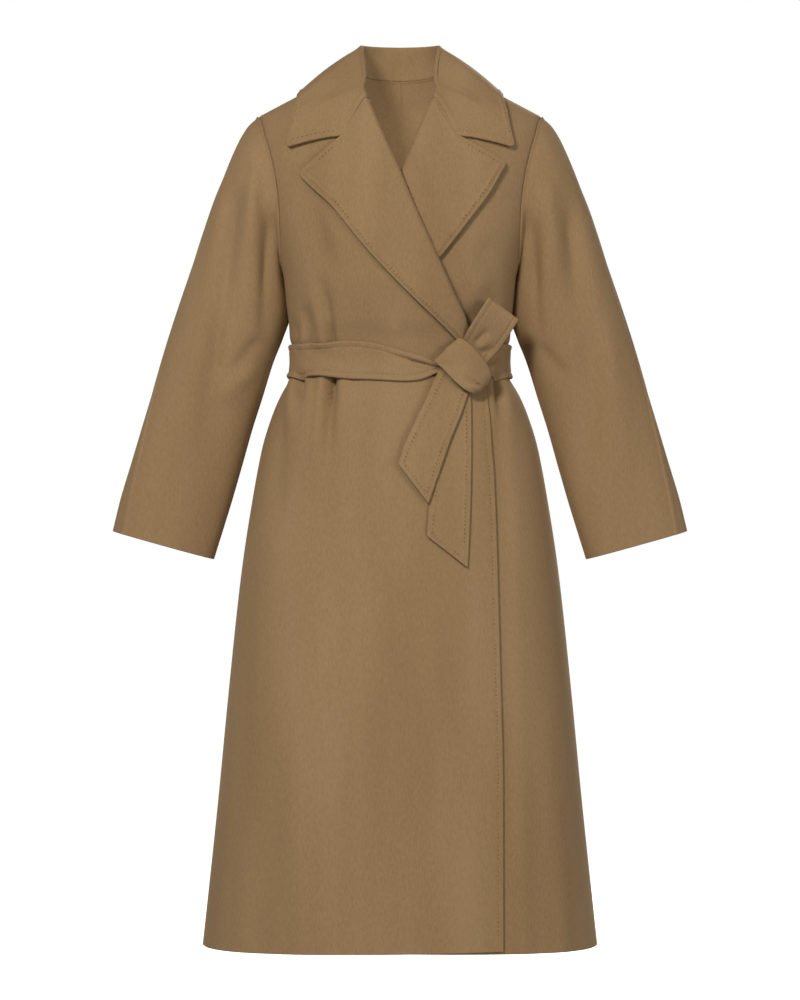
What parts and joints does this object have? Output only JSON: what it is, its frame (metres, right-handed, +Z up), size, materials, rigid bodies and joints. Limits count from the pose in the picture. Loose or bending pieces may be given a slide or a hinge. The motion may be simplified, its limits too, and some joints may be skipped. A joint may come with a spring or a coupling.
{
  "type": "belted wrap coat",
  "caption": "Long wrap coat of smooth wool with wide notched lapels, set-in sleeves and a tied cloth belt, filled out with nobody in it.",
  "frame": {"origin": "centred between the shoulders at the height of the neck's base, where the wearer's shoulders hold the coat", "axes": "+Z up along the body, the front faces -Y, +X towards the wearer's left"},
  "size_m": [0.8036, 0.3523, 1.2614],
  "materials": {
    "front_right": "matt brushed wool, warm camel brown",
    "front_left": "matt brushed wool, warm camel brown",
    "back_right": "matt brushed wool, warm camel brown",
    "back_left": "matt brushed wool, warm camel brown",
    "sleeve_right_front": "matt brushed wool, warm camel brown",
    "sleeve_right_back": "matt brushed wool, warm camel brown",
    "sleeve_left_front": "matt brushed wool, warm camel brown",
    "sleeve_left_back": "matt brushed wool, warm camel brown",
    "collar": "matt brushed wool, warm camel brown",
    "lapel_right": "matt brushed wool, warm camel brown",
    "lapel_left": "matt brushed wool, warm camel brown",
    "belt_waist": "matt brushed wool, warm camel brown",
    "belt_knot": "matt brushed wool, warm camel brown",
    "belt_loop": "matt brushed wool, warm camel brown",
    "belt_tail_front": "matt brushed wool, warm camel brown",
    "belt_tail_back": "matt brushed wool, warm camel brown"
  },
  "bodies": {
    "root": {"front_right": "front_right", "front_left": "front_left", "back_right": "back_right", "back_left": "back_left", "sleeve_right_front": "sleeve_right_front", "sleeve_right_back": "sleeve_right_back", "sleeve_left_front": "sleeve_left_front", "sleeve_left_back": "sleeve_left_back", "collar": "collar", "lapel_right": "lapel_right", "lapel_left": "lapel_left", "belt_waist": "belt_waist", "belt_knot": "belt_knot", "belt_loop": "belt_loop", "belt_tail_front": "belt_tail_front", "belt_tail_back": "belt_tail_back"}
  },
  "joints": []
}
